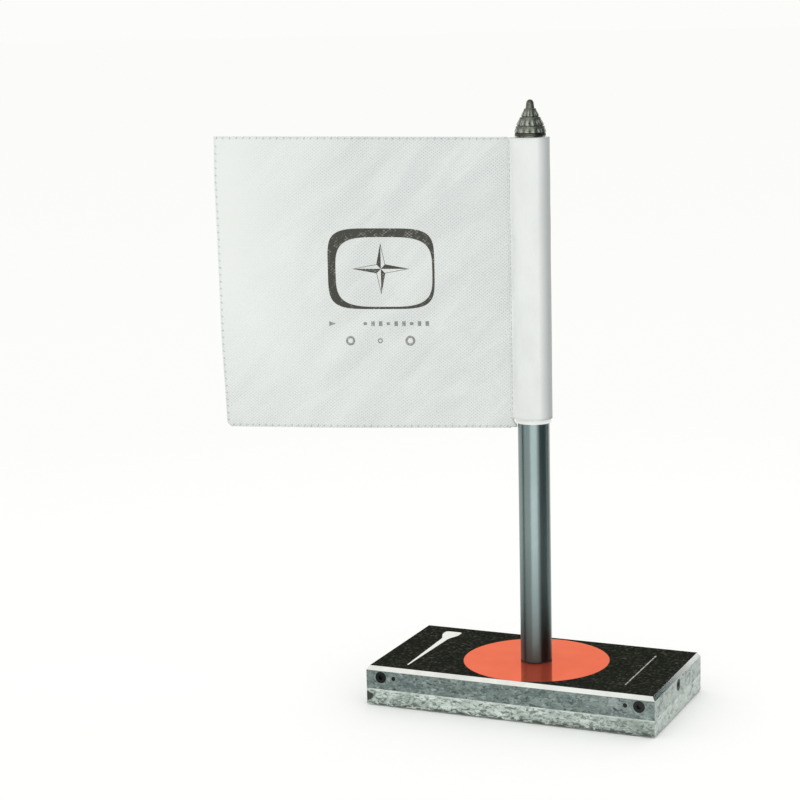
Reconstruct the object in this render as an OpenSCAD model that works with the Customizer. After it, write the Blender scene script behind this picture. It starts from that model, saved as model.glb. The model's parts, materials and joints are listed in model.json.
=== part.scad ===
// Desk flag stand: a layered block with a polished top, a pole that screws on to a stud in the
// block, a flag that swivels on the thinner spindle above the pole's shoulder, and a finial that
// screws into the spindle.
// The origin is on the pole's axis at the surface the stand rests on. +X runs along the base,
// -Y is the front and +Z is up. All sizes are in millimetres.

/* [Base] */
// Length of the base
base_w = 96; // [90:1:130]
// Depth of the base
base_d = 50; // [46:1:70]
// Height of the base with its pad
base_h = 13; // [13:0.5:18]
// Distance of the pole to the right of the base's middle
pole_dx = 1; // [-5:0.5:5]
// Distance of the pole in front of the base's middle
pole_dy = 0.6; // [0:0.1:2]
// Width of the bright trim, seen from above
trim_w = 0.9; // [0.6:0.1:1.5]
// Thickness of the black plate and of the trim beside it
plate_t = 1.3; // [1.2:0.1:2]
// Height of the lower slab
plinth_h = 5.1; // [5:0.1:7]
// Thickness of the pad under the base
pad_t = 0.5; // [0.5:0.1:1.5]
// Head diameter of the side screws
screw_head_d = 3.6; // [3:0.1:3.8]
// Diameter of the pins beside the screws
side_pin_d = 1.4; // [1:0.1:1.6]

/* [Inlays] */
// Length of the tee shape
tee_l = 39; // [25:0.5:41]
// Distance of the tee and the line from the base's middle
inlay_x = 35.8; // [30:0.2:38]
// Length of the thin line
line_l = 32; // [20:1:38]

/* [Pole] */
// Outer diameter of the pole
pole_d = 10; // [9.6:0.1:11]
// Height of the pole from its foot to the sleeve
pole_h = 77.2; // [50:0.1:120]
// Wall of the pole's tube
pole_wall = 1; // [0.8:0.1:1.2]
// Diameter of the spindle inside the flag's sleeve
spindle_d = 6; // [5.6:0.1:6.4]

/* [Flag] */
// Length of the flag from the pole's axis to the fly edge
flag_l = 101.4; // [60:0.1:150]
// Height of the flag at its sleeve
flag_h = 90.8; // [60:0.1:120]
// How much further the fly edge reaches up and down
fly_flare = 1.4; // [0:0.1:3]
// Outer diameter of the cloth sleeve
sleeve_d = 12; // [12:0.1:13]
// Direction of the flag, turned towards the front from straight left
flag_angle = 13; // [-60:1:60]

/* [Finial] */
// Height of the finial with its collar
finial_h = 11.2; // [10:0.1:16]
// Diameter of the finial's collar
finial_d = 9.6; // [8:0.1:11]

/* [Threads] */
// Diameter of the stud in the base
stud_d = 5; // [4:0.5:5]
// Diameter of the finial's stud
finial_stud_d = 3; // [2.5:0.5:3]
// Thread engaged between the base stud and the pole
stud_reach = 9.8; // [8:0.1:11]
// Thread engaged between the finial's stud and the spindle
finial_reach = 6.2; // [4:0.1:7]

/* [Hidden] */
$fn = 96;

// A cut passes this far through a face
cut = 0.5;
// Radial gap of a thread or of a bush that turns on the spindle
run_gap = 0.08;
// Radial gap that stands for a press fit
press_gap = 0.02;
// Gap between faces that lie on each other across a joint
face_gap = 0.02;

// Heights of the base's layers
plinth_top = pad_t + plinth_h;
cover_top = base_h - plate_t;
cover_wall = 2.2;
cover_roof = 0.9;
block_gap = 0.1;
block_top = cover_top - cover_roof - block_gap;

// Pad, set in from the slab's edge
pad_inset = 2;
pad_corner = 3;

// Inlays let into the black plate
inlay_t = 0.8;
inlay_gap = 0.03;
disc_d = base_d - 2 * trim_w - 2 * pole_dy - 0.2;
line_w = 0.45;

// Tee outline: widths across the head, under its flare and at the tip
tee_head_w = 5.8;
tee_corner = 1;
tee_lip = 2.6;
tee_flare_l = 6.5;
tee_neck_w = 2.2;
tee_tip_w = 0.5;

// Side screws, measured from the head's outer face
screw_head_t = 1.1;
screw_sink = 0.1;
screw_d = 1.6;
screw_l = 6;
screw_socket_af = 1.5;
screw_socket_deep = 0.7;
screw_z = cover_top - screw_head_d / 2 - 0.4;
screw_inset = 5;

// Side pins, pressed through the cover into the block
side_pin_l = 5.5;
side_pin_inset = 9.4;

// Stud, nuts and washer
clear_hole_d = stud_d + 0.4;
nut_af = 8;
nut_t = 2.7;
washer_d = 10;
washer_t = 1;
counterbore_d = 11.4;
stud_bottom = pad_t + 0.2;

// Pole: the foot washer lies on the disc and the tube stands on the washer
foot_washer_t = 0.5;
foot_z = base_h + foot_washer_t;
shoulder_z = foot_z + pole_h;
tube_bore_d = pole_d - 2 * pole_wall;
insert_l = 16.5;
insert_thread_l = stud_reach + 1.7;
reducer_l = 20;
spindle_tail = 22;

// Flag: flanged bushes in both ends of the sleeve's tube carry it on the shoulder
flange_t = 0.8;
sleeve_z = shoulder_z + 0.3;
panel_drop = 2;
flag_z = sleeve_z - panel_drop;
lower_flange_z = shoulder_z + 0.1;
flag_top = flag_z + flag_h;
upper_flange_top = flag_top + 0.1;
cloth_wall = 0.35;
cloth_t = 0.6;
hoist_x = cloth_wall / 2 - sleeve_d / 2;
sleeve_tube_d = sleeve_d - 2 * cloth_wall - 0.1;
sleeve_tube_wall = 0.6;
bush_d = sleeve_tube_d - 2 * sleeve_tube_wall - 2 * press_gap;
bush_l = 6;

// Finial: the collar rests on the spindle's end
spindle_top = upper_flange_top + 0.3;
collar_t = 0.9;
finial_z = spindle_top + collar_t;
cone_h = finial_h - collar_t;
knob_r = 0.95;
tip_r = 1.5;
tip_h = 2.8;
tiers = 3;
bead_r = 1.25;
bead_drop = 0.35;
finial_stud_in = 3;

module at_base() {
  translate([-pole_dx, pole_dy, 0]) children();
}

// Rectangle with round corners, centred
module round_rect(w, d, r) {
  square([w - 2 * r, d], center = true);
  square([w, d - 2 * r], center = true);
  for (x = [-1, 1], y = [-1, 1])
    translate([x * (w / 2 - r), y * (d / 2 - r)]) circle(r);
}

// Block centred in X and Y, standing on z0
module slab(w, d, z0, z1) {
  translate([-w / 2, -d / 2, z0]) cube([w, d, z1 - z0]);
}

// Ring about the Z axis
module ring(od, id, z0, z1) {
  difference() {
    translate([0, 0, z0]) cylinder(d = od, h = z1 - z0);
    translate([0, 0, z0 - cut]) cylinder(d = id, h = z1 - z0 + 2 * cut);
  }
}

// Round cut about the pole's axis
module drill(d, z0, z1) {
  translate([0, 0, z0]) cylinder(d = d, h = z1 - z0);
}

// Hexagonal prism about the Z axis, measured across its flats
module hex_prism(af, z0, z1) {
  translate([0, 0, z0]) cylinder(r = af / sqrt(3), h = z1 - z0, $fn = 6);
}

module hex_nut(z0) {
  difference() {
    hex_prism(nut_af, z0, z0 + nut_t);
    drill(stud_d + 2 * press_gap, z0 - cut, z0 + nut_t + cut);
  }
}

// Sites on the front and back near the corners, as [x, y, direction]
function corner_sites(inset) = [
  for (x = [-1, 1], back = [0, 1])
    [x * (base_w / 2 - inset), (back - 0.5) * base_d, 180 * back]
];

// Puts children at each site, with +Z pointing out of the base's side
module at_sites(sites) {
  for (s = sites)
    at_base() translate([s[0], s[1], screw_z]) rotate([0, 0, s[2]]) rotate([90, 0, 0]) children();
}

module at_screws() {
  ends = [for (x = [-1, 1]) [x * base_w / 2, 0, 90 * x]];
  at_sites(concat(corner_sites(screw_inset), ends)) children();
}

module at_pins() {
  at_sites(corner_sites(side_pin_inset)) children();
}

module felt_pad() {
  color("#26302c")
    at_base() linear_extrude(pad_t)
      round_rect(base_w - 2 * pad_inset, base_d - 2 * pad_inset, pad_corner);
}

module plinth() {
  color("#b9c4be")
    difference() {
      at_base() slab(base_w, base_d, pad_t, plinth_top);
      drill(clear_hole_d, 0, plinth_top + cut);
      drill(counterbore_d, 0, stud_bottom + nut_t + washer_t);
    }
}

module ballast_block() {
  color("#54585a")
    difference() {
      at_base() slab(
        base_w - 2 * cover_wall - 2 * block_gap,
        base_d - 2 * cover_wall - 2 * block_gap,
        plinth_top, block_top
      );
      drill(clear_hole_d, 0, base_h);
      hex_prism(nut_af + 2 * block_gap, block_top - nut_t - block_gap, base_h);
      at_screws() translate([0, 0, -screw_l - 2 * screw_head_t])
        cylinder(d = screw_d + 2 * press_gap, h = screw_l + 2 * screw_head_t);
      at_pins() translate([0, 0, -side_pin_l - cut])
        cylinder(d = side_pin_d + 2 * press_gap, h = side_pin_l + cut);
    }
}

module cover() {
  color("#7d8a84")
    difference() {
      at_base() slab(base_w, base_d, plinth_top, cover_top);
      at_base() slab(
        base_w - 2 * cover_wall, base_d - 2 * cover_wall, plinth_top - cut, cover_top - cover_roof
      );
      drill(clear_hole_d, 0, base_h);
      at_screws() translate([0, 0, -cover_wall - cut])
        cylinder(d = screw_d + 0.2, h = cover_wall + 2 * cut);
      at_screws() translate([0, 0, -screw_sink - screw_head_t])
        cylinder(d = screw_head_d + 0.2, h = screw_head_t + cut);
      at_pins() translate([0, 0, -cover_wall - cut])
        cylinder(d = side_pin_d + 2 * press_gap, h = cover_wall + 2 * cut);
    }
}

// The bevel is where two roof-shaped prisms cross, so its corners are mitred
module bevel_block() {
  intersection() {
    rotate([90, 0, 0]) linear_extrude(base_d, center = true)
      polygon([
        [-base_w / 2, cover_top], [base_w / 2, cover_top],
        [base_w / 2 - trim_w, base_h], [trim_w - base_w / 2, base_h]
      ]);
    rotate([90, 0, 90]) linear_extrude(base_w, center = true)
      polygon([
        [-base_d / 2, cover_top], [base_d / 2, cover_top],
        [base_d / 2 - trim_w, base_h], [trim_w - base_d / 2, base_h]
      ]);
  }
}

module edge_trim() {
  color("#ecebe4")
    at_base() difference() {
      bevel_block();
      slab(base_w - 2 * trim_w, base_d - 2 * trim_w, cover_top - cut, base_h + cut);
    }
}

// Half outline of the tee's right side, from the tip up the stem, round the flare and the corner
function tee_side() = [
  [tee_tip_w / 2, 0],
  for (a = [0:30:180])
    [
      tee_neck_w / 2 + (tee_head_w - tee_neck_w) / 4 * (1 - cos(a)),
      tee_l - tee_lip - tee_flare_l * (1 - a / 180)
    ],
  for (a = [0:30:90])
    [tee_head_w / 2 - tee_corner * (1 - cos(a)), tee_l - tee_corner * (1 - sin(a))]
];

module tee_shape() {
  side = tee_side();
  far_side = [for (i = [len(side) - 1:-1:0]) [-side[i][0], side[i][1]]];
  translate([-inlay_x, -tee_l / 2]) {
    polygon(concat(side, far_side));
    circle(d = tee_tip_w, $fn = 24);
  }
}

module line_shape() {
  translate([inlay_x - line_w / 2, -line_l / 2]) square([line_w, line_l]);
}

module top_plate() {
  color("#16171a")
    difference() {
      at_base() slab(base_w - 2 * trim_w, base_d - 2 * trim_w, cover_top, base_h);
      drill(clear_hole_d, cover_top - cut, base_h);
      drill(disc_d + 2 * inlay_gap, base_h - inlay_t, base_h + cut);
      at_base() translate([0, 0, base_h - inlay_t]) linear_extrude(inlay_t + cut) {
        tee_shape();
        line_shape();
      }
    }
}

module disc_inlay() {
  color("#f4705a")
    ring(disc_d, clear_hole_d, base_h - inlay_t, base_h);
}

module tee_inlay() {
  color("#f2f2ee")
    at_base() translate([0, 0, base_h - inlay_t]) linear_extrude(inlay_t) tee_shape();
}

module line_inlay() {
  color("#a9adab")
    at_base() translate([0, 0, base_h - inlay_t]) linear_extrude(inlay_t) line_shape();
}

module side_screws() {
  color("#101112")
    at_screws() translate([0, 0, -screw_sink]) difference() {
      union() {
        translate([0, 0, -screw_head_t]) cylinder(d = screw_head_d, h = screw_head_t);
        translate([0, 0, -screw_head_t - screw_l]) cylinder(d = screw_d, h = screw_l);
      }
      hex_prism(screw_socket_af, -screw_socket_deep, cut);
    }
}

module side_pins() {
  color("#101112")
    at_pins() translate([0, 0, -side_pin_l]) cylinder(d = side_pin_d, h = side_pin_l);
}

module base_stud() {
  color("#9aa0a3")
    drill(stud_d, stud_bottom, foot_z + stud_reach);
}

module stud_washer() {
  color("#8f9598")
    ring(washer_d, clear_hole_d, stud_bottom + nut_t, stud_bottom + nut_t + washer_t);
}

module stud_nut() {
  color("#a3a9ac")
    hex_nut(stud_bottom);
}

module lock_nut() {
  color("#a3a9ac")
    hex_nut(block_top - nut_t);
}

module foot_washer() {
  color("#1d2224")
    ring(pole_d, stud_d + 0.6, base_h + face_gap, foot_z - face_gap);
}

module pole_tube() {
  color("#6f8085")
    ring(pole_d, tube_bore_d, foot_z, shoulder_z);
}

module foot_insert() {
  color("#b49a55")
    difference() {
      drill(tube_bore_d - 2 * press_gap, foot_z, foot_z + insert_l);
      drill(stud_d + 2 * run_gap, foot_z - cut, foot_z + insert_thread_l);
    }
}

module reducer_bush() {
  color("#b49a55")
    ring(tube_bore_d - 2 * press_gap, spindle_d + 2 * press_gap, shoulder_z - reducer_l, shoulder_z);
}

module spindle() {
  color("#87939a")
    difference() {
      drill(spindle_d, shoulder_z - spindle_tail, spindle_top);
      drill(finial_stud_d + 2 * run_gap, spindle_top - finial_reach - 1, spindle_top + cut);
    }
}

module sleeve_tube() {
  color("#dfe4e4")
    ring(
      sleeve_tube_d, sleeve_tube_d - 2 * sleeve_tube_wall,
      lower_flange_z + flange_t, upper_flange_top - flange_t
    );
}

// Flanged bush about the Z axis, with its flange's outer face at z = 0 and its body above
module swivel_bush() {
  difference() {
    union() {
      cylinder(d = sleeve_tube_d, h = flange_t);
      cylinder(d = bush_d, h = flange_t + bush_l);
    }
    translate([0, 0, -cut])
      cylinder(d = spindle_d + 2 * run_gap, h = flange_t + bush_l + 2 * cut);
  }
}

module lower_swivel_bush() {
  color("#e8e8e2")
    translate([0, 0, lower_flange_z]) swivel_bush();
}

module upper_swivel_bush() {
  color("#e8e8e2")
    translate([0, 0, upper_flange_top]) mirror([0, 0, 1]) swivel_bush();
}

module flag_cloth() {
  color("#dfe3e3")
    rotate([0, 0, flag_angle]) {
      ring(sleeve_d, sleeve_d - 2 * cloth_wall, sleeve_z, flag_top);
      translate([0, cloth_t / 2, flag_z]) rotate([90, 0, 0]) linear_extrude(cloth_t) polygon([
        [-flag_l, -fly_flare], [hoist_x, 0], [hoist_x, flag_h], [-flag_l, flag_h + fly_flare]
      ]);
    }
}

module finial_collar() {
  color("#3b3d35")
    ring(finial_d, finial_stud_d + 0.6, spindle_top + face_gap, finial_z - face_gap);
}

// Outer radius of a tier, counted from the collar
function tier_r(i) = finial_d / 2 - i * (finial_d / 2 - tip_r) / tiers;

// Half outline of the beehive: round beads on a stepped core, under a blunt tip
module finial_outline() {
  tier_h = (cone_h - tip_h) / tiers;
  for (i = [0:tiers - 1]) {
    translate([tier_r(i) - bead_r, (i + bead_drop) * tier_h]) circle(bead_r);
    translate([0, i * tier_h]) square([tier_r(i) - bead_r, tier_h]);
  }
  polygon([
    [0, tiers * tier_h - cut], [tip_r, tiers * tier_h - cut], [tip_r, tiers * tier_h],
    [knob_r, cone_h - knob_r], [0, cone_h - knob_r]
  ]);
  translate([0, cone_h - knob_r]) circle(knob_r);
}

module finial() {
  color("#6d6d5e")
    translate([0, 0, finial_z]) difference() {
      rotate_extrude() intersection() {
        finial_outline();
        square([finial_d, cone_h + cut]);
      }
      drill(finial_stud_d + 2 * press_gap, -cut, finial_stud_in);
    }
}

module finial_stud() {
  color("#9aa0a3")
    drill(finial_stud_d, spindle_top - finial_reach, finial_z + finial_stud_in - face_gap);
}

felt_pad();
plinth();
ballast_block();
cover();
edge_trim();
top_plate();
disc_inlay();
tee_inlay();
line_inlay();
side_screws();
side_pins();
base_stud();
stud_washer();
stud_nut();
lock_nut();
foot_washer();
pole_tube();
foot_insert();
reducer_bush();
spindle();
sleeve_tube();
lower_swivel_bush();
upper_swivel_bush();
flag_cloth();
finial_collar();
finial();
finial_stud();
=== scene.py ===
"""Looks of the desk flag stand: cloth flag with its sleeve, print and stitches, the beaded
finial, a material for every CAD piece, and the studio around them. Metres, in the CAD frame."""
import json
import math

import bmesh
import bpy
from mathutils import Matrix, Vector, noise


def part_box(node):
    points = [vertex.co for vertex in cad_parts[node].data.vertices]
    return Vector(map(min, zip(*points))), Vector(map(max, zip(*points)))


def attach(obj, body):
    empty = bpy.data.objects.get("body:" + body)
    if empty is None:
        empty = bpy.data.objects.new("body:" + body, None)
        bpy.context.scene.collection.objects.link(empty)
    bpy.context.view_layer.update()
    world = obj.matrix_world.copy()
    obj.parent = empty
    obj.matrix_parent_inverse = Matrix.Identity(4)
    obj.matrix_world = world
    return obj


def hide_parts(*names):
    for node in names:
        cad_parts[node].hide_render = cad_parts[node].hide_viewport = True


MM = 0.001

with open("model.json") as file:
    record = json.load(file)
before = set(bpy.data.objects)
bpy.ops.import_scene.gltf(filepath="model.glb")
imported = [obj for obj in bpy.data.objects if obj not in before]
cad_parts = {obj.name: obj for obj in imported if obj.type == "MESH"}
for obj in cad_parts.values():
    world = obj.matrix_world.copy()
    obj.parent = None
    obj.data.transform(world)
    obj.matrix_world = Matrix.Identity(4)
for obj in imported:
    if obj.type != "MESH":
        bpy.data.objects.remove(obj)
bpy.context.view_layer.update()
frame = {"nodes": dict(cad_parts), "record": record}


# ---------------------------------------------------------------- places, read from the frame

def span(node, axis):
    """Lowest and highest place of a CAD node along an axis, 0 to 2."""
    low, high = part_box(node)
    return low[axis], high[axis]


# The cloth is taller at its fly edge than at the sleeve, where it ends just under the upper bush.
FLY_LOW, FLY_HIGH = span("flag_cloth", 2)
BUSH_FOOT = span("lower_swivel_bush", 2)[0]
BUSH_PROUD = 0.1 * MM
CLOTH_HIGH = span("upper_swivel_bush", 2)[1] - BUSH_PROUD
FLY_FLARE = FLY_HIGH - CLOTH_HIGH
CLOTH_LOW = FLY_LOW + FLY_FLARE
CLOTH_HEIGHT = CLOTH_HIGH - CLOTH_LOW
TUBE_RADIUS = span("sleeve_tube", 0)[1]
BASE_TOP = span("top_plate", 2)[1]
PLINTH_BOTTOM, PLINTH_TOP = span("plinth", 2)
BASE_LEFT, BASE_RIGHT = span("plinth", 0)
BASE_FRONT = span("plinth", 1)[0]
FINIAL_LOW, FINIAL_HIGH = span("finial", 2)
FINIAL_RADIUS = span("finial", 0)[1]

# The flag's panel points left and is turned a little towards the front.
FLAG_TURN = math.radians(13)
CLOTH_REACH = -span("flag_cloth", 0)[0] / math.cos(FLAG_TURN)
ALONG = Vector((-math.cos(FLAG_TURN), -math.sin(FLAG_TURN), 0))
OUTWARD = Vector((math.sin(FLAG_TURN), -math.cos(FLAG_TURN), 0))
UP = Vector((0, 0, 1))
RIGHT = Vector((1, 0, 0))


# ---------------------------------------------------------------- materials

class Surface:
    """A Principled material built node by node, in object coordinates."""

    def __init__(self, name, **sockets):
        self.material = bpy.data.materials.new(name)
        self.material.use_nodes = True
        self.tree = self.material.node_tree
        self.tree.nodes.clear()
        output = self.tree.nodes.new("ShaderNodeOutputMaterial")
        self.shader = self.tree.nodes.new("ShaderNodeBsdfPrincipled")
        self.tree.links.new(self.shader.outputs["BSDF"], output.inputs["Surface"])
        self.place = self.tree.nodes.new("ShaderNodeTexCoord").outputs["Object"]
        for socket, value in sockets.items():
            self.shader.inputs[socket.replace("_", " ")].default_value = value

    def put(self, value, socket):
        """Links an output, or writes a plain value, into a socket."""
        if isinstance(value, bpy.types.NodeSocket):
            self.tree.links.new(value, socket)
        else:
            socket.default_value = value

    def set(self, socket, value):
        """Sets one of the shader's own sockets."""
        self.put(value, self.shader.inputs[socket])

    def noise(self, size, detail=3.0, stretch=(1, 1, 1), warp=0.0, tilt=0.0):
        """Cloudy noise from 0 to 1 with blobs of about size metres, longer along stretched axes and
        tilted about the Y axis."""
        mapping = self.tree.nodes.new("ShaderNodeMapping")
        mapping.vector_type = "TEXTURE"
        mapping.inputs["Rotation"].default_value = (0, tilt, 0)
        mapping.inputs["Scale"].default_value = [size * s for s in stretch]
        self.put(self.place, mapping.inputs["Vector"])
        node = self.tree.nodes.new("ShaderNodeTexNoise")
        self.put(mapping.outputs["Vector"], node.inputs["Vector"])
        node.inputs["Scale"].default_value = 1.0
        node.inputs["Detail"].default_value = detail
        node.inputs["Roughness"].default_value = 0.5
        node.inputs["Distortion"].default_value = warp
        return node.outputs["Fac"]

    def math(self, operation, a, b=0.0):
        """One step of arithmetic on outputs or numbers."""
        node = self.tree.nodes.new("ShaderNodeMath")
        node.operation = operation
        self.put(a, node.inputs[0])
        self.put(b, node.inputs[1])
        return node.outputs[0]

    def along(self, direction):
        """Distance of the shaded point along a direction, in metres."""
        node = self.tree.nodes.new("ShaderNodeVectorMath")
        node.operation = "DOT_PRODUCT"
        self.put(self.place, node.inputs[0])
        node.inputs[1].default_value = direction
        return node.outputs["Value"]

    def wave(self, distance, pitch):
        """Sine wave from -1 to 1 of the given pitch."""
        return self.math("SINE", self.math("MULTIPLY", distance, 2 * math.pi / pitch))

    def remap(self, value, low, high, to_low=0.0, to_high=1.0):
        """Takes low..high to to_low..to_high, and holds both ends."""
        node = self.tree.nodes.new("ShaderNodeMapRange")
        for socket, number in zip(node.inputs[1:5], (low, high, to_low, to_high)):
            socket.default_value = number
        self.put(value, node.inputs[0])
        return node.outputs[0]

    def ramp(self, value, *stops):
        """Colour ramp from (place, colour) stops."""
        node = self.tree.nodes.new("ShaderNodeValToRGB")
        self.put(value, node.inputs["Fac"])
        elements = node.color_ramp.elements
        while len(elements) < len(stops):
            elements.new(0.5)
        for element, (place, colour) in zip(elements, stops):
            element.position = place
            element.color = (*colour, 1)
        return node.outputs["Color"]

    def mix(self, factor, a, b):
        """Colour a at factor 0 and b at factor 1."""
        node = self.tree.nodes.new("ShaderNodeMix")
        node.data_type = "RGBA"
        self.put(factor, node.inputs["Factor"])
        for socket, colour in ((node.inputs[6], a), (node.inputs[7], b)):
            self.put((*colour, 1) if isinstance(colour, tuple) else colour, socket)
        return node.outputs[2]

    def bump(self, height, depth, strength=1.0):
        """Fine relief of the given depth in metres."""
        node = self.tree.nodes.new("ShaderNodeBump")
        node.inputs["Strength"].default_value = strength
        node.inputs["Distance"].default_value = depth
        self.put(height, node.inputs["Height"])
        self.set("Normal", node.outputs["Normal"])

    def tangent(self):
        """Brushing that runs round the Z axis."""
        node = self.tree.nodes.new("ShaderNodeTangent")
        node.direction_type = "RADIAL"
        node.axis = "Z"
        self.set("Tangent", node.outputs["Tangent"])

    def distance(self, centre):
        """Distance of the shaded point from a place, in metres."""
        node = self.tree.nodes.new("ShaderNodeVectorMath")
        node.operation = "DISTANCE"
        self.put(self.place, node.inputs[0])
        node.inputs[1].default_value = centre
        return node.outputs["Value"]

    def blot(self, centre, radius):
        """1 inside an uneven round blot about centre, 0 outside."""
        edge = self.remap(self.noise(radius, 2), 0.3, 0.7, 0.6, 1.4)
        return self.remap(self.math("DIVIDE", self.distance(centre), edge), radius, 0.6 * radius)

    def attribute(self, name):
        """A number stored on the mesh's vertices."""
        node = self.tree.nodes.new("ShaderNodeAttribute")
        node.attribute_name = name
        return node.outputs["Fac"]


# Dark of the stone's pits, also used for the painted shade at the lower left corner.
DARK_PIT_AND_SHADE = (0.03, 0.04, 0.035)


def painted_lit_end(s, body, pale):
    """Painted light: the slab's right end face is painted pale, as if lit more brightly than the
    front, but for some mottling.
    """
    end_face_from, end_face_to = BASE_RIGHT - 0.02 * MM, BASE_RIGHT - 0.01 * MM
    end = s.remap(s.along(RIGHT), end_face_from, end_face_to, 0, 0.62)
    mottle = s.noise(2.0 * MM, 3, stretch=(1, 1.5, 0.8), warp=0.8)
    return s.mix(end, body, s.mix(s.remap(mottle, 0.50, 0.36), pale, (0.20, 0.25, 0.235)))


def upper_stone():
    """Dark grey-green stone with blurred darker and lighter flecks."""
    s = Surface("upper_stone", Specular_IOR_Level=0.35)
    cloud = s.noise(2.6 * MM, 4, stretch=(1.7, 1.7, 0.9), warp=0.6)
    fleck = s.noise(1.0 * MM, 2.5, stretch=(1.35, 1.35, 0.8), warp=0.9)
    body = s.ramp(cloud, (0.30, (0.10, 0.14, 0.135)), (0.52, (0.165, 0.215, 0.205)),
                  (0.72, (0.26, 0.32, 0.305)))
    light = s.mix(s.remap(fleck, 0.56, 0.72, 0, 0.8), body, (0.38, 0.44, 0.42))
    marked = s.mix(s.remap(fleck, 0.46, 0.32), light, (0.045, 0.065, 0.065))
    # The right end face is painted pale: painted light.
    s.set("Base Color", painted_lit_end(s, marked, (0.55, 0.60, 0.57)))
    s.set("Roughness", s.remap(cloud, 0.3, 0.7, 0.52, 0.38))
    s.bump(fleck, 0.06 * MM, 0.6)
    return s.material


def lower_stone():
    """Pale grey-green stone with dark wavering strokes along its length and pits. Painted shade
    darkens it towards its right end, in ragged patches along its lower edge and in a blot at the
    lower left corner; a painted highlight lightens its upper edge."""
    s = Surface("lower_stone", Specular_IOR_Level=0.35)
    cloud = s.noise(3.2 * MM, 4, stretch=(1.8, 1.8, 0.8), warp=0.7)
    stroke = s.noise(0.85 * MM, 3, stretch=(2.0, 2.0, 0.9), warp=1.0)
    pit = s.noise(0.8 * MM, 2, stretch=(1.4, 1.4, 1), warp=0.5)
    body = s.ramp(cloud, (0.30, (0.32, 0.39, 0.35)), (0.50, (0.56, 0.64, 0.59)),
                  (0.70, (0.78, 0.85, 0.81)))
    marked = s.mix(s.remap(stroke, 0.53, 0.38, 0, 0.9), body, (0.115, 0.15, 0.13))
    pitted = s.mix(s.remap(pit, 0.35, 0.27), marked, DARK_PIT_AND_SHADE)
    # Painted shade: the front darkens towards the right end.
    shade = s.remap(s.along(RIGHT), 0.0, BASE_RIGHT, 0.0, 0.45)
    shaded_right = s.mix(shade, pitted, (0.22, 0.27, 0.245))
    # Painted shade: ragged dark patches along the lower edge, where the block meets the floor.
    height = s.along(UP)
    low_edge_shade = s.math("MULTIPLY", s.remap(height, PLINTH_BOTTOM + 1.4 * MM, PLINTH_BOTTOM, 0, 1.6),
                   s.remap(stroke, 0.60, 0.44))
    low_edge_shaded = s.mix(s.math("MINIMUM", low_edge_shade, 1.0), shaded_right, (0.07, 0.09, 0.08))
    # Painted highlight: a lighter band along the upper edge.
    arris_highlight = s.remap(height, PLINTH_TOP - 0.9 * MM, PLINTH_TOP - 0.3 * MM, 0, 0.45)
    rimmed = s.mix(arris_highlight, low_edge_shaded, (0.74, 0.80, 0.77))
    # Painted shade: a dark blot at the lower left front corner.
    corner_shade = s.blot((BASE_LEFT + 0.8 * MM, BASE_FRONT, 3.3 * MM), 1.9 * MM)
    # The right end face is painted pale: painted light.
    s.set("Base Color", painted_lit_end(s, s.mix(corner_shade, rimmed, DARK_PIT_AND_SHADE), (0.62, 0.67, 0.64)))
    s.set("Roughness", s.remap(cloud, 0.3, 0.7, 0.62, 0.45))
    s.bump(stroke, 0.10 * MM, 0.7)
    return s.material


def black_top():
    """Honed black stone with faint brown-grey grain."""
    s = Surface("black_top", Specular_IOR_Level=0.0)
    grain = s.noise(1.1 * MM, 4, warp=0.5)
    patch = s.noise(6 * MM, 3)
    base = s.ramp(grain, (0.35, (0.012, 0.013, 0.010)), (0.56, (0.024, 0.026, 0.020)),
                  (0.70, (0.085, 0.085, 0.070)))
    s.set("Base Color", s.mix(s.remap(patch, 0.45, 0.65, 0.0, 0.5), base, (0.012, 0.013, 0.011)))
    s.set("Roughness", s.remap(grain, 0.3, 0.7, 0.38, 0.55))
    s.bump(grain, 0.02 * MM, 0.5)
    return s.material


def red_disc():
    """Coral red mirror lacquer: the reflection is tinted red, down to grazing views."""
    s = Surface("red_disc", Metallic=0.68, Specular_Tint=(1.0, 0.62, 0.44, 1),
                Specular_IOR_Level=0.1)
    cloud = s.noise(9 * MM, 2)
    s.set("Base Color", s.ramp(cloud, (0.35, (0.85, 0.135, 0.080)), (0.65, (0.89, 0.155, 0.095))))
    s.set("Roughness", s.remap(s.noise(2 * MM, 3), 0.35, 0.7, 0.05, 0.09))
    return s.material


def enamel(name, colour, worn_and_shaded, bare):
    """Paint fill of an inlay, thin where the wear noise passes bare."""
    s = Surface(name, Specular_IOR_Level=0.3)
    wear = s.noise(0.8 * MM, 3, warp=0.4)
    s.set("Base Color", s.mix(s.remap(wear, bare, bare + 0.14), colour, worn_and_shaded))
    s.set("Roughness", s.remap(wear, 0.3, 0.7, 0.30, 0.45))
    s.bump(wear, 0.01 * MM)
    return s.material


def metal(name, colour, rough, brushing):
    """Bare metal with fine brushing and a light cloud of tarnish. brushing stretches the
    scratches along its axes."""
    s = Surface(name, Metallic=1.0)
    scratch = s.noise(0.12 * MM, 2, stretch=brushing)
    cloud = s.noise(7 * MM, 3)
    dull = tuple(0.86 * c for c in colour)
    s.set("Base Color", s.mix(s.remap(cloud, 0.4, 0.7), colour, dull))
    s.set("Roughness", s.remap(scratch, 0.3, 0.7, rough * 0.8, rough * 1.2))
    s.bump(scratch, 0.004 * MM, 0.6)
    return s.material


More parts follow.
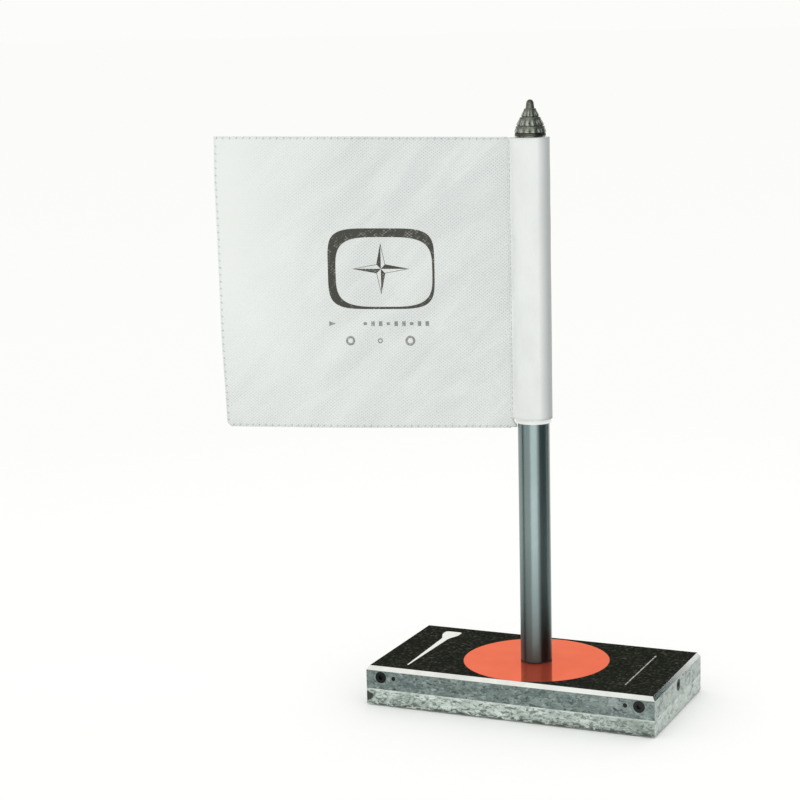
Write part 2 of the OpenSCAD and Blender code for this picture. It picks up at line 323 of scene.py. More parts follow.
def pole_finish():
    """Lathe-polished tube, with painted shade at its foot in place of the black top's dark
    reflection.
    The scratches run round it, so that reflections smear along it."""
    s = Surface("pole_finish", Metallic=1.0, Anisotropic=0.85, Anisotropic_Rotation=0.25)
    ring = s.noise(0.10 * MM, 2, stretch=(60, 60, 1))
    cloud = s.noise(9 * MM, 3, stretch=(1, 1, 2.5))
    body = s.mix(s.remap(cloud, 0.4, 0.7), (0.226, 0.285, 0.282), (0.196, 0.255, 0.252))
    # Painted shade: the tube darkens towards its foot, in place of the black top's reflection.
    foot = s.remap(s.along(UP), BASE_TOP, BASE_TOP + 40 * MM, 0.85, 0.0)
    s.set("Base Color", s.mix(foot, body, (0.062, 0.088, 0.086)))
    s.set("Roughness", s.remap(ring, 0.3, 0.7, 0.34, 0.40))
    s.tangent()
    return s.material


def plastic(name, colour, rough):
    """Moulded plastic with a faint grain and cloud."""
    s = Surface(name, Specular_IOR_Level=0.4)
    grain = s.noise(0.35 * MM, 3)
    cloud = s.noise(4 * MM, 2)
    s.set("Base Color", s.mix(s.remap(cloud, 0.4, 0.7), colour, tuple(0.93 * c for c in colour)))
    s.set("Roughness", s.remap(grain, 0.3, 0.7, rough * 0.85, rough * 1.15))
    s.bump(grain, 0.01 * MM, 0.5)
    return s.material


def rubber():
    """Dull dark rubber."""
    s = Surface("rubber", Specular_IOR_Level=0.25)
    grain = s.noise(0.2 * MM, 3)
    s.set("Base Color", s.ramp(grain, (0.3, (0.012, 0.013, 0.013)), (0.7, (0.035, 0.036, 0.035))))
    s.set("Roughness", s.remap(grain, 0.3, 0.7, 0.6, 0.8))
    s.bump(grain, 0.03 * MM)
    return s.material


def felt():
    """Dark pressed felt with fibres and a little sheen."""
    s = Surface("felt", Sheen_Weight=0.5, Sheen_Roughness=0.6, Specular_IOR_Level=0.1)
    fibre = s.noise(0.25 * MM, 4, stretch=(3, 1, 1), warp=2.0)
    cloud = s.noise(3 * MM, 3)
    dark = s.ramp(fibre, (0.3, (0.010, 0.014, 0.012)), (0.7, (0.045, 0.055, 0.050)))
    s.set("Base Color", s.mix(s.remap(cloud, 0.4, 0.7, 0, 0.5), dark, (0.03, 0.035, 0.03)))
    s.set("Roughness", 0.95)
    s.bump(fibre, 0.12 * MM)
    return s.material


WEAVE_WIDE, WEAVE_HIGH = 1.25 * MM, 0.95 * MM
SATIN_CELL = 0.5 * MM
THREAD_PITCH = 0.24 * MM
STREAK_TILT = -math.radians(42)


def weave(s, wide, high):
    """Raised cells of the cloth from -1 to 1, staggered row by row."""
    return s.math("MULTIPLY", s.wave(s.along(ALONG), wide), s.wave(s.along(UP), high))


def fine_threads(s):
    """Single threads of the cloth, both ways, from -2 to 2."""
    return s.math("ADD", s.wave(s.along(ALONG), THREAD_PITCH), s.wave(s.along(UP), THREAD_PITCH))


def twill():
    """Flag cloth: open weave that shows more near the sleeve and the lower edge than in the upper
    fly corner, with painted shade that greys the cloth there too, and soft slanting streaks."""
    s = Surface("flag_twill", Specular_IOR_Level=0.12, Sheen_Weight=0.12, Sheen_Roughness=0.5)
    across, upward = s.along(ALONG), s.along(UP)
    thread = fine_threads(s)
    aside = s.remap(across, 0.55 * CLOTH_REACH, 0.95 * CLOTH_REACH, 1, 0)
    below = s.remap(upward, CLOTH_LOW, CLOTH_LOW + 0.45 * CLOTH_HEIGHT, 0.9, 0)
    streak = s.noise(8 * MM, 3, stretch=(3.0, 1, 0.8), warp=0.5, tilt=STREAK_TILT)
    open_weave_and_shade = s.math("MULTIPLY", s.math("MAXIMUM", aside, below),
                       s.remap(streak, 0.3, 0.6, 0.5, 1))
    dip = s.math("MULTIPLY", s.remap(weave(s, WEAVE_WIDE, WEAVE_HIGH), 0.1, 0.9),
                 s.math("ADD", s.math("MULTIPLY", open_weave_and_shade, 0.85), 0.12))
    # Painted shade: the ground is greyer near the sleeve and the lower edge.
    ground = s.mix(open_weave_and_shade, (0.865, 0.89, 0.875), (0.755, 0.785, 0.785))
    s.set("Base Color", s.mix(s.math("MULTIPLY", dip, 0.5), ground, (0.46, 0.485, 0.50)))
    s.set("Roughness", s.remap(thread, -2, 2, 0.95, 0.82))
    s.bump(s.math("SUBTRACT", s.math("MULTIPLY", thread, 0.08), s.math("MULTIPLY", dip, 0.8)),
           0.09 * MM)
    return s.material


def satin():
    """Close-woven sleeve band with painted shade: greyer along its fold on the side away from the
    panel.
    """
    s = Surface("sleeve_satin", Specular_IOR_Level=0.15, Sheen_Weight=0.1, Sheen_Roughness=0.5)
    cell = weave(s, SATIN_CELL, SATIN_CELL)
    cloud = s.noise(9 * MM, 3, stretch=(1, 1, 2))
    ground = s.mix(s.remap(cloud, 0.4, 0.65), (0.845, 0.868, 0.858), (0.785, 0.808, 0.802))
    # Painted shade along the fold on the side away from the panel.
    fold = s.remap(s.along(ALONG), -0.48 * TUBE_RADIUS, -0.98 * TUBE_RADIUS, 0, 1)
    worn_and_shaded = s.mix(fold, ground, (0.41, 0.43, 0.44))
    s.set("Base Color", s.mix(s.remap(cell, 0.2, 0.9, 0, 0.08), worn_and_shaded, (0.42, 0.44, 0.44)))
    s.set("Roughness", s.remap(cell, -1, 1, 0.75, 0.6))
    s.bump(s.math("ADD", s.math("MULTIPLY", cell, 0.3), cloud), 0.05 * MM)
    return s.material


def thread_finish(name, colour):
    """Sewing thread with its twist."""
    s = Surface(name, Specular_IOR_Level=0.2, Sheen_Weight=0.2)
    ply = s.wave(s.along(Vector((1, 0.4, 1.3))), 0.28 * MM)
    fibre = s.noise(0.12 * MM, 3)
    s.set("Base Color", s.mix(s.remap(ply, -1, 1), colour, tuple(0.72 * c for c in colour)))
    s.set("Roughness", s.remap(fibre, 0.3, 0.7, 0.7, 0.9))
    s.bump(ply, 0.03 * MM)
    return s.material


def ink(name, colour, thin):
    """Screen print: dark, with the cloth's cells showing where the ink is thin."""
    s = Surface(name, Specular_IOR_Level=0.2)
    cell = weave(s, WEAVE_WIDE, WEAVE_HIGH)
    wear = s.noise(1.6 * MM, 4, warp=0.6)
    bare = s.math("MULTIPLY", s.remap(wear, 0.50, 0.64), s.remap(cell, -0.4, 0.9))
    s.set("Base Color", s.mix(bare, colour, thin))
    s.set("Roughness", s.remap(wear, 0.3, 0.7, 0.55, 0.75))
    s.bump(cell, 0.02 * MM)
    return s.material


def pewter_finish():
    """Antique pewter: dark olive patina in the grooves, rubbed bright on the beads."""
    s = Surface("pewter_finish", Metallic=0.9, Specular_IOR_Level=0.4)
    groove = s.attribute("groove")
    cloud = s.noise(1.1 * MM, 4, warp=0.8)
    patina = s.ramp(cloud, (0.3, (0.040, 0.040, 0.026)), (0.7, (0.115, 0.115, 0.085)))
    rubbed = s.ramp(cloud, (0.3, (0.21, 0.22, 0.185)), (0.7, (0.54, 0.585, 0.53)))
    worn_and_shaded = s.math("SUBTRACT", 1.0, s.math("ADD", groove, s.remap(cloud, 0.5, 0.7, 0.0, 0.45)))
    s.set("Base Color", s.mix(s.remap(worn_and_shaded, 0.0, 0.75), patina, rubbed))
    s.set("Roughness", s.remap(worn_and_shaded, 0.0, 1.0, 0.55, 0.22))
    s.bump(cloud, 0.05 * MM, 0.7)
    return s.material


ROUND_Z = (25, 25, 1)
ALONG_Z = (1, 1, 25)
ALONG_X = (25, 1, 1)
NO_GRAIN = (1, 1, 1)
FINISHES = {
    "felt": felt(),
    "light_stone": lower_stone(),
    "ballast_steel": metal("ballast_steel", (0.33, 0.34, 0.35), 0.45, ALONG_X),
    "dark_stone": upper_stone(),
    "trim_metal": metal("trim_metal", (0.87, 0.88, 0.85), 0.18, ROUND_Z),
    "black_gloss": black_top(),
    "red_gloss": red_disc(),
    "white_enamel": enamel("white_enamel", (0.88, 0.88, 0.84), (0.70, 0.70, 0.66), 0.58),
    "grey_enamel": enamel("grey_enamel", (0.42, 0.43, 0.40), (0.05, 0.05, 0.045), 0.46),
    "black_screw": metal("black_screw", (0.020, 0.021, 0.021), 0.42, NO_GRAIN),
    "zinc_steel": metal("zinc_steel", (0.62, 0.64, 0.66), 0.30, ROUND_Z),
    "dark_rubber": rubber(),
    "pole_steel": pole_finish(),
    "brass_insert": metal("brass_insert", (0.72, 0.55, 0.26), 0.28, ROUND_Z),
    "spindle_steel": metal("spindle_steel", (0.60, 0.63, 0.65), 0.25, ALONG_Z),
    "clear_plastic": plastic("sleeve_plastic", (0.84, 0.86, 0.86), 0.35),
    "nylon": plastic("nylon", (0.88, 0.88, 0.85), 0.5),
    "dark_pewter": metal("dark_pewter", (0.085, 0.087, 0.068), 0.42, ROUND_Z),
}
CLOTH = twill()
SATIN = satin()
EDGE_THREAD = thread_finish("edge_thread", (0.72, 0.73, 0.72))
SEAM_THREAD = thread_finish("seam_thread", (0.80, 0.81, 0.79))
PRINT = ink("print_ink", (0.060, 0.060, 0.052), (0.30, 0.30, 0.27))
PALE_PRINT = ink("pale_print_ink", (0.26, 0.27, 0.26), (0.55, 0.56, 0.55))
PEWTER = pewter_finish()


def paint_cad_nodes():
    """Every CAD node takes the finish of its record slot."""
    for part in frame["record"]["subparts"]:
        finish = FINISHES.get(part["material_slot"])
        if finish:
            mesh = frame["nodes"][part["node"]].data
            mesh.materials.clear()
            mesh.materials.append(finish)


paint_cad_nodes()


# ---------------------------------------------------------------- mesh helpers

def piece(name, bm, material, body, smooth=True):
    """Turns a bmesh into a named piece that rides on a body."""
    bmesh.ops.recalc_face_normals(bm, faces=bm.faces)
    mesh = bpy.data.meshes.new(name)
    bm.to_mesh(mesh)
    bm.free()
    mesh.materials.append(material)
    for face in mesh.polygons:
        face.use_smooth = smooth
    obj = bpy.data.objects.new(name, mesh)
    bpy.context.scene.collection.objects.link(obj)
    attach(obj, body)
    return obj


def loft(bm, rings, cap=True):
    """Skins closed rings of points, each of the same count, and caps both ends."""
    rows = [[bm.verts.new(p) for p in ring] for ring in rings]
    count = len(rows[0])
    for low, high in zip(rows, rows[1:]):
        for i in range(count):
            j = (i + 1) % count
            bm.faces.new((low[i], low[j], high[j], high[i]))
    if cap:
        bm.faces.new(rows[0])
        bm.faces.new(list(reversed(rows[-1])))
    return rows


def smoothstep(low, high, value):
    """Eases from 0 at low to 1 at high, whichever of the two is larger."""
    t = min(max((value - low) / (high - low), 0.0), 1.0)
    return t * t * (3 - 2 * t)


# ---------------------------------------------------------------- flag

CLOTH_T = 0.34 * MM
SLEEVE_T = 0.30 * MM
SLEEVE_RADIUS = TUBE_RADIUS + 0.03 * MM
# The sleeve band stops short of the panel's lower edge and leaves the bush's rim in sight.
SLEEVE_RISE = BUSH_FOOT + 1.3 * MM - CLOTH_LOW
# Distances along the cloth from the pole's axis.
PANEL_START = 6.1 * MM
SEAM_AT = 6.5 * MM
TAIL_END = 7.0 * MM
HEM_START = TAIL_END + 0.2 * MM


def cloth_out(s, h):
    """How far the cloth's middle plane stands out, s from the pole's axis and h above its lower
    edge. It is held straight at the sleeve and ripples softly towards the fly."""
    u = max(s - TAIL_END, 0) / (CLOTH_REACH - TAIL_END)
    v = h / CLOTH_HEIGHT
    free = u ** 1.4
    ripple = 0.9 * MM * math.sin(2 * math.pi * (0.62 * u + 0.18 * v) + 0.4)
    ripple += 0.35 * MM * math.sin(2 * math.pi * (1.5 * u - 0.55 * v) + 1.9)
    corner = smoothstep(0.75, 1.35, u + 0.55 * (1 - v))
    return free * ripple - 1.8 * MM * corner * free


def cloth_point(s, h, out=0.0):
    """A point s along the cloth from the pole's axis, h above its lower edge, out in front. The
    cloth flares a little towards the fly."""
    drop = 0.25 * MM * max(s / CLOTH_REACH, 0) ** 2 * math.sin(math.pi * h / CLOTH_HEIGHT)
    away = max(s - TAIL_END, 0) / (CLOTH_REACH - TAIL_END)
    flare = FLY_FLARE * away * (2 * h / CLOTH_HEIGHT - 1)
    place = ALONG * s + OUTWARD * (cloth_out(s, h) + out)
    return place + UP * (CLOTH_LOW + h + flare - drop)


def fly_edge(h):
    """Where the fly edge lies at a height: the lower corner is cut a little short and rounded."""
    v = h / CLOTH_HEIGHT
    short = 0.9 * MM * smoothstep(0.35, 0.0, v) + 0.4 * MM * smoothstep(0.85, 1.0, v)
    corner = 1.1 * MM
    if h < corner:
        short += corner - math.sqrt(corner ** 2 - (corner - h) ** 2)
    return CLOTH_REACH - short


def hoist_edge(h):
    """Where the panel begins at a height: it reaches closer to the pole below the bush."""
    return PANEL_START - 0.8 * MM * smoothstep(SLEEVE_RISE - 1.3 * MM, SLEEVE_RISE - 1.8 * MM, h)


def panel_mesh():
    """The woven panel, a closed thin solid."""
    columns, rows = 110, 100
    bm = bmesh.new()

    def sheet(out):
        grid = []
        for r in range(rows + 1):
            h = CLOTH_HEIGHT * r / rows
            start, end = hoist_edge(h), fly_edge(h)
            line = [cloth_point(start + (end - start) * c / columns, h, out)
                    for c in range(columns + 1)]
            grid.append([bm.verts.new(p) for p in line])
        return grid

    front, back = sheet(CLOTH_T / 2), sheet(-CLOTH_T / 2)
    for r in range(rows):
        for c in range(columns):
            for grid in (front, back):
                bm.faces.new((grid[r][c], grid[r][c + 1], grid[r + 1][c + 1], grid[r + 1][c]))
    rim = [(0, c) for c in range(columns)]
    rim += [(r, columns) for r in range(rows)]
    rim += [(rows, c) for c in range(columns, 0, -1)]
    rim += [(r, 0) for r in range(rows, 0, -1)]
    for (r0, c0), (r1, c1) in zip(rim, rim[1:] + rim[:1]):
        bm.faces.new((front[r0][c0], front[r1][c1], back[r1][c1], back[r0][c0]))
    return bm


def sleeve_outline(radius, tail):
    """Half outline of the sleeve's section, from the seam's tail to the far side of the tube, as
    (along, out) pairs: a flat tail, a tangent run and the round."""
    fold = SEAM_AT - 0.3 * MM
    touch = 1.15 * math.acos(min(radius / fold, 1.0))
    turns = 26
    angles = [touch + (math.pi - touch) * i / turns for i in range(turns + 1)]
    round_part = [(radius * math.cos(a), radius * math.sin(a)) for a in angles]
    return [(TAIL_END, tail), (SEAM_AT, tail * 1.1)] + round_part


def sleeve_mesh():
    """Satin band wrapped round the tube, with both tails sewn over the panel's edge."""
    bm = bmesh.new()
    rows = 90
    outer_half = sleeve_outline(SLEEVE_RADIUS + SLEEVE_T, CLOTH_T / 2 + SLEEVE_T)
    inner_half = sleeve_outline(SLEEVE_RADIUS, CLOTH_T / 2)
    outer = outer_half + [(a, -o) for a, o in reversed(outer_half[:-1])]
    inner = inner_half + [(a, -o) for a, o in reversed(inner_half[:-1])]
    section = outer + list(reversed(inner))
    rings = []
    for r in range(rows + 1):
        h = SLEEVE_RISE + (CLOTH_HEIGHT - SLEEVE_RISE) * r / rows
        ring = []
        for a, o in section:
            slack = 0.10 * MM * noise.noise(Vector((a, o, h * 0.35)) * 260 + Vector((7, 3, 1)))
            grow = 1 + max(slack, 0) / SLEEVE_RADIUS
            ring.append(ALONG * a * grow + OUTWARD * o * grow + UP * (CLOTH_LOW + h))
        rings.append(ring)
    loft(bm, rings)
    return bm


def stitch(bm, start, end, lift, radius, sides=7, steps=6):
    """One thread stitch: a tapered rope from start to end that rises by lift in its middle."""
    rise = lift.normalized()
    side = (end - start).normalized().cross(rise).normalized()
    turns = [2 * math.pi * k / sides for k in range(sides)]
    rings = []
    for i in range(steps + 1):
        t = i / steps
        bulge = math.sin(math.pi * t)
        middle = start.lerp(end, t) + lift * bulge
        girth = radius * (0.45 + 0.55 * bulge)
        rings.append([middle + side * girth * math.cos(a) + rise * girth * math.sin(a)
                      for a in turns])
    loft(bm, rings)


def hem_path():
    """Points and inward directions along the three free edges of the panel, about evenly apart."""
    pitch = 2.2 * MM
    path = []
    count = int((CLOTH_REACH - TAIL_END - 2 * MM) / pitch)
    for i in range(count):
        s = TAIL_END + 1.5 * MM + i * pitch
        path.append(((s, 0.0), (0, 1)))
    for i in range(int(CLOTH_HEIGHT / pitch) - 1):
        h = (i + 1) * pitch
        path.append(((fly_edge(h), h), (-1, 0)))
    for i in range(count):
        s = fly_edge(CLOTH_HEIGHT) - 1 * MM - i * pitch
        path.append(((s, CLOTH_HEIGHT), (0, -1)))
    return path


def overlock_mesh():
    """Overlocked edge: a slanted thread over the edge at each stitch, on both faces."""
    bm = bmesh.new()
    thread, lift = 0.10 * MM, 0.09 * MM
    inset, lean = 0.8 * MM, 0.4 * MM
    face_proud, wrap_proud, wrap_lift = 0.1 * MM, 0.08 * MM, 0.06 * MM
    for (s, h), (ds, dh) in hem_path():
        for face in (1, -1):
            out = face * CLOTH_T / 2
            edge = cloth_point(s - ds * face_proud, h - dh * face_proud, out)
            inner = cloth_point(s + ds * inset - dh * lean * face,
                                h + dh * inset + ds * lean * face, out)
            stitch(bm, edge, inner, OUTWARD * face * lift, thread)
        front, back = (cloth_point(s - ds * wrap_proud, h - dh * wrap_proud, out)
                       for out in (CLOTH_T / 2, -CLOTH_T / 2))
        stitch(bm, front, back, -(ALONG * ds + UP * dh) * wrap_lift, thread)
    return bm


def rolled_hem_mesh():
    """The rolled edge under the overlock, a slim cord along the three free edges."""
    bm = bmesh.new()
    girth, sides, steps = 0.26 * MM, 8, 60
    low_end = fly_edge(1.2 * MM) - 1.3 * MM
    high_end = fly_edge(CLOTH_HEIGHT)
    path = [(HEM_START, 0.0)]
    path += [(TAIL_END + (low_end - TAIL_END) * i / steps, 0.0) for i in range(1, steps + 1)]
    path += [(fly_edge(CLOTH_HEIGHT * i / steps), CLOTH_HEIGHT * i / steps)
             for i in range(1, steps)]
    path += [(high_end + (HEM_START - high_end) * i / steps, CLOTH_HEIGHT)
             for i in range(steps + 1)]
    points = [cloth_point(s, h) for s, h in path]
    turns = [2 * math.pi * k / sides for k in range(sides)]
    rings = []
    for i, point in enumerate(points):
        ahead = points[min(i + 1, len(points) - 1)] - points[max(i - 1, 0)]
        side = ahead.normalized().cross(OUTWARD).normalized()
        rings.append([point + side * girth * math.cos(a) + OUTWARD * girth * math.sin(a)
                      for a in turns])
    loft(bm, rings)
    return bm


def seam_mesh():
    """Lock stitches that close the sleeve over the panel, front and back."""
    bm = bmesh.new()
    pitch, margin = 1.7 * MM, 0.5 * MM
    thread, lift = 0.11 * MM, 0.06 * MM
    line = SEAM_AT + 0.1 * MM
    top = CLOTH_T / 2 + SLEEVE_T
    for i in range(int((CLOTH_HEIGHT - SLEEVE_RISE - 2 * margin) / pitch)):
        low = SLEEVE_RISE + margin + i * pitch
        for face in (1, -1):
            start = cloth_point(line, low, face * top)
            end = cloth_point(line, low + pitch * 0.8, face * top)
            stitch(bm, start, end, OUTWARD * face * lift, thread)
    return bm


# ---------------------------------------------------------------- print on the flag

# Centre of the emblem: along the cloth from the pole's axis, and above the cloth's lower edge.
PRINT_S = 47.9 * MM
PRINT_H = 139.2 * MM - CLOTH_LOW
# The ink stands proud of the cloth by as much as it sinks in.
FILM_T = 0.03 * MM


def film(bm, left, right, closed=False):
    """A strip of ink between two lines of (across, up) points about the print's centre. It lies
    on the cloth's front face; across grows towards the pole."""
    def on_cloth(point, out):
        across, up = point
        return cloth_point(PRINT_S - across, PRINT_H + up, CLOTH_T / 2 + out)

    rings = []
    for a, b in zip(left, right):
        rings.append([on_cloth(a, -FILM_T), on_cloth(b, -FILM_T),
                      on_cloth(b, FILM_T), on_cloth(a, FILM_T)])
    if closed:
        rings.append(rings[0])
    loft(bm, rings, cap=not closed)
    if closed:
        bmesh.ops.remove_doubles(bm, verts=bm.verts, dist=1e-7)


def oval(cx, cy, rx, ry, squareness=1.0, count=96):
    """Closed line about (cx, cy). A squareness under 1 turns the oval into a rounded rectangle."""
    def bent(value):
        return math.copysign(abs(value) ** squareness, value)

    turns = [2 * math.pi * i / count for i in range(count)]
    return [(cx + rx * bent(math.cos(a)), cy + ry * bent(math.sin(a))) for a in turns]


def between(a, b, count):
    """Straight line of points from a to b."""
    return [(a[0] + (b[0] - a[0]) * i / count, a[1] + (b[1] - a[1]) * i / count)
            for i in range(count + 1)]


def emblem_mesh():
    """A plain frame with round corners, thicker at its upper left, round a four-pointed star."""
    bm = bmesh.new()
    wide, high, soft, count = 17.2 * MM, 12.6 * MM, 0.42, 160
    film(bm, oval(0, 0, wide, high, soft, count),
         oval(0.9 * MM, -1.0 * MM, wide - 1.6 * MM, high - 1.7 * MM, soft + 0.12, count),
         closed=True)
    point, waist, line, steps = 8.0 * MM, 2.0 * MM, 0.32 * MM, 8
    shrink = 1 - 2 * line / point
    for k in range(4):
        angle = math.pi / 2 * k
        tip = (point * 1.15 * math.cos(angle), point * math.sin(angle))
        filled, outlined = [(waist * math.cos(angle + turn), waist * math.sin(angle + turn))
                            for turn in (math.pi / 4, -math.pi / 4)]
        film(bm, between((0, 0), tip, steps), between(filled, tip, steps))
        edge = between(outlined, tip, steps)
        film(bm, edge, [(x * shrink, y * shrink) for x, y in edge])
    return bm


def marks_mesh():
    """Two rows of small plain marks under the emblem: dashes after a wedge, and three rings."""
    bm = bmesh.new()
    upper, lower = -17.2 * MM, -22.6 * MM
    half, dash, pitch, steps = 0.75 * MM, 1.1 * MM, 2.5 * MM, 3
    arrow, arrow_tip = -17.2 * MM, -15.2 * MM
    film(bm, between((arrow, upper - half), (arrow_tip, upper), steps),
         between((arrow, upper + half), (arrow_tip, upper + 0.1 * MM), steps))
    for i in range(9):
        x = -6.0 * MM + i * pitch
        tall = half * (1.0 if i % 3 else 0.6)
        film(bm, between((x, upper - tall), (x, upper + tall), steps),
             between((x + dash, upper - tall), (x + dash, upper + tall), steps))
    for x, size in ((-10.4 * MM, 1.5 * MM), (-0.7 * MM, 0.8 * MM), (9.0 * MM, 1.6 * MM)):
        hole = 0.55 * size
        film(bm, oval(x, lower, size, size, count=24), oval(x, lower, hole, hole, count=24),
             closed=True)
    return bm


def make_flag():
    """The flag's pieces, all on its own body."""
    panel = piece("flag_panel", panel_mesh(), CLOTH, "flag")
    sleeve = piece("flag_sleeve", sleeve_mesh(), SATIN, "flag")
    hem = piece("flag_hem", rolled_hem_mesh(), CLOTH, "flag")
    overlock = piece("flag_overlock", overlock_mesh(), EDGE_THREAD, "flag")
    seam = piece("flag_seam", seam_mesh(), SEAM_THREAD, "flag")
    emblem = piece("flag_emblem", emblem_mesh(), PRINT, "flag", smooth=False)
    marks = piece("flag_marks", marks_mesh(), PALE_PRINT, "flag", smooth=False)
    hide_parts("flag_cloth")


make_flag()


# ---------------------------------------------------------------- finial

SPIRE_FROM = 0.73
# Each tier's lower and upper end as shares of the height, and its radius at its foot and neck.
TIERS = ((0.00, 0.21, 1.00, 0.92), (0.21, 0.48, 0.87, 0.66), (0.48, SPIRE_FROM, 0.57, 0.38))


def finial_profile(t):
    """Radius as a share of the finial's largest, and how strongly beads ripple it, at share t of
    its height: three flared skirts under a blunt spire."""
    for low, high, foot, neck in TIERS:
        if t < high:
            inner = (t - low) / (high - low)
            bead = math.exp(-((inner - 0.36) / 0.30) ** 2)
            lip = smoothstep(0.0, 0.14, inner)
            skirt = foot + (neck - foot) * smoothstep(0.1, 1.0, inner)
            return skirt * (0.93 + 0.07 * lip), bead
    inner = (t - SPIRE_FROM) / (1 - SPIRE_FROM)
    spire = 0.285 - 0.075 * inner
    return spire * math.sqrt(max(1 - max((inner - 0.6) / 0.4, 0) ** 2.2, 0)), 0.0


def make_finial():
    """The beaded finial. Its groove attribute says where the patina is kept."""
    bm = bmesh.new()
    groove_layer = bm.verts.layers.float.new("groove")
    around, rows, beads = 156, 150, 13
    height = FINIAL_HIGH - FINIAL_LOW
    angles = [2 * math.pi * k / around for k in range(around)]
    rings, grooves = [], []
    for r in range(rows):
        t = r / rows
        share, bead = finial_profile(t)
        ring, marks = [], []
        for angle in angles:
            lobe = abs(math.cos(beads * angle / 2))
            relief = bead * (0.10 * lobe - 0.08)
            radius = FINIAL_RADIUS * share * (1 + relief)
            ring.append(Vector((radius * math.cos(angle), radius * math.sin(angle),
                                FINIAL_LOW + height * t)))
            marks.append(min(1.0, (1 - bead) * 0.7 + bead * (1 - lobe) * 0.9))
        rings.append(ring)
        grooves.append(marks)
    rows_made = loft(bm, rings, cap=False)
    for line, marks in zip(rows_made, grooves):
        for vert, mark in zip(line, marks):
            vert[groove_layer] = mark
    bm.faces.new(rows_made[0])
    tip = bm.verts.new((0, 0, FINIAL_HIGH))
    tip[groove_layer] = 0.2
    last = rows_made[-1]
    for k in range(around):
        bm.faces.new((last[k], last[(k + 1) % around], tip))
    finial = piece("beaded_finial", bm, PEWTER, "finial")
    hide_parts("finial")


make_finial()


# ---------------------------------------------------------------- studio

def stage_plane(name, corners, material):
    """One flat face that belongs to the studio, not to the object."""
    bm = bmesh.new()
    bm.faces.new([bm.verts.new(c) for c in corners])
    mesh = bpy.data.meshes.new(name)
    bm.to_mesh(mesh)
    bm.free()
    mesh.materials.append(material)
    obj = bpy.data.objects.new(name, mesh)
    bpy.context.scene.collection.objects.link(obj)
    return obj


def floor_finish():
    """White paper with painted light: a faint glow that fades away from the object and fills in its
    shadow.
    """
    s = Surface("floor_paper_glow", Specular_IOR_Level=0.0)
    tooth = s.noise(1.5 * MM, 2)
    s.set("Base Color", s.mix(tooth, (0.985, 0.985, 0.985), (0.975, 0.975, 0.975)))
    s.set("Roughness", 1.0)
    s.set("Emission Color", (1, 1, 0.98, 1))
    # Painted light: the floor glows, most near the object.
    s.set("Emission Strength", s.remap(s.distance((0, 0, 0)), 0.12, 0.5, 0.052, 0.010))
    return s.material


def card_finish(name, colour, glow):
    """Black card that glows a little or a lot."""
    s = Surface(name, Specular_IOR_Level=0.0, Emission_Color=(*colour, 1), Emission_Strength=glow)
    s.set("Base Color", s.mix(s.noise(5 * MM), (0.01, 0.01, 0.01), (0.02, 0.02, 0.02)))
    s.set("Roughness", 1.0)
    return s.material


def around_pole(azimuth, distance, height):
    """A point at an azimuth from the front, turning to the right, at a distance and height."""
    a = math.radians(azimuth)
    return Vector((distance * math.sin(a), -distance * math.cos(a), height))


def reflected_card(name, corners, colour, glow):
    """A card that shows in reflections only."""
    plane = stage_plane(name, corners, card_finish(name, colour, glow))
    plane.visible_camera = False
    plane.visible_diffuse = False
    plane.visible_shadow = False


def dark_card(name, azimuths, distance, height):
    """A dark teal card that stands on the floor between two azimuths."""
    left, right = azimuths
    corners = [around_pole(left, distance, 0), around_pole(right, distance, 0),
               around_pole(right, distance, height), around_pole(left, distance, height)]
    reflected_card(name, corners, (0.0, 0.9, 1.0), 0.04)


def floor_glow(name, azimuths, near, far, glow):
    """A lit wedge on the floor, which gives the pole its highlight."""
    left, right = azimuths
    lift = 1 * MM
    corners = [around_pole(left, near, lift), around_pole(right, near, lift),
               around_pole(right, far, lift), around_pole(left, far, lift)]
    reflected_card(name, corners, (1, 1, 1), glow)


def softbox(name, azimuth, distance, height, size, power):
    """A rectangular lamp that faces the middle of the pole."""
    lamp = bpy.data.lights.new(name, "AREA")
    lamp.shape = "RECTANGLE"
    lamp.size, lamp.size_y = size
    lamp.energy = power
    obj = bpy.data.objects.new(name, lamp)
    obj.location = around_pole(azimuth, distance, height)
    aim = UP * 0.1 - obj.location
    obj.rotation_euler = aim.to_track_quat("-Z", "Y").to_euler()
    bpy.context.scene.collection.objects.link(obj)


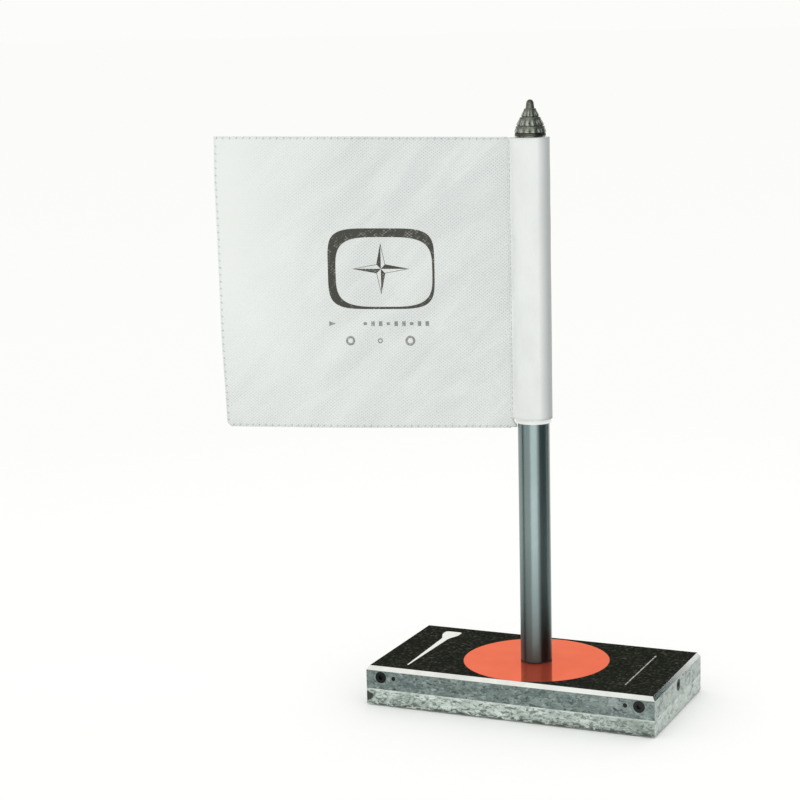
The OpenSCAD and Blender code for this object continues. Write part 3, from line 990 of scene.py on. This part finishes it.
def make_world(strength):
    """Even pale light from all round."""
    world = bpy.data.worlds.new("studio")
    bpy.context.scene.world = world
    world.use_nodes = True
    background = world.node_tree.nodes["Background"]
    background.inputs["Color"].default_value = (0.985, 0.99, 0.965, 1)
    background.inputs["Strength"].default_value = strength


CAMERA_TURN, CAMERA_PITCH, CAMERA_ROLL = (math.radians(x) for x in (24.16, 10.05, 1.32))
CAMERA_DISTANCE = 0.660
CAMERA_ASIDE = -41.93 * MM
CAMERA_AIM_HEIGHT = 98.71 * MM
LENS, SENSOR = 94.5, 36


def make_camera():
    """Seen from the front and a little to the right, looking slightly down. The aim is a point
    level with the flag's lower part, to the left of the pole."""
    turn, pitch, roll = CAMERA_TURN, CAMERA_PITCH, CAMERA_ROLL
    right = Vector((math.cos(turn), math.sin(turn), 0))
    back = Vector((math.sin(turn) * math.cos(pitch), -math.cos(turn) * math.cos(pitch),
                   math.sin(pitch)))
    up = back.cross(right)
    target = right * CAMERA_ASIDE + UP * CAMERA_AIM_HEIGHT
    level_right = right * math.cos(roll) - up * math.sin(roll)
    level_up = right * math.sin(roll) + up * math.cos(roll)
    lens = bpy.data.cameras.new("camera")
    lens.sensor_width = SENSOR
    lens.lens = LENS
    camera = bpy.data.objects.new("camera", lens)
    turned = Matrix((level_right, level_up, back)).transposed().to_4x4()
    camera.matrix_world = Matrix.Translation(target + back * CAMERA_DISTANCE) @ turned
    bpy.context.scene.collection.objects.link(camera)
    bpy.context.scene.camera = camera


# Wide enough that no horizon shows in any view.
FLOOR = 60.0
stage_plane("floor", [(-FLOOR, -FLOOR, 0), (FLOOR, -FLOOR, 0), (FLOOR, FLOOR, 0),
                      (-FLOOR, FLOOR, 0)], floor_finish())
make_world(strength=0.99)
softbox("top_softbox", azimuth=0, distance=0.3, height=1.8, size=(1.6, 1.6), power=0.8)
floor_glow("front_glow", azimuths=(-8, 42), near=0.06, far=2.5, glow=2.7)
dark_card("right_card", azimuths=(55, 122), distance=0.15, height=0.5)
dark_card("left_card", azimuths=(-76, -60), distance=0.15, height=0.5)
dark_card("back_card", azimuths=(128, 145.5), distance=0.2, height=0.3)
make_camera()
bpy.context.scene.view_settings.view_transform = "Standard"
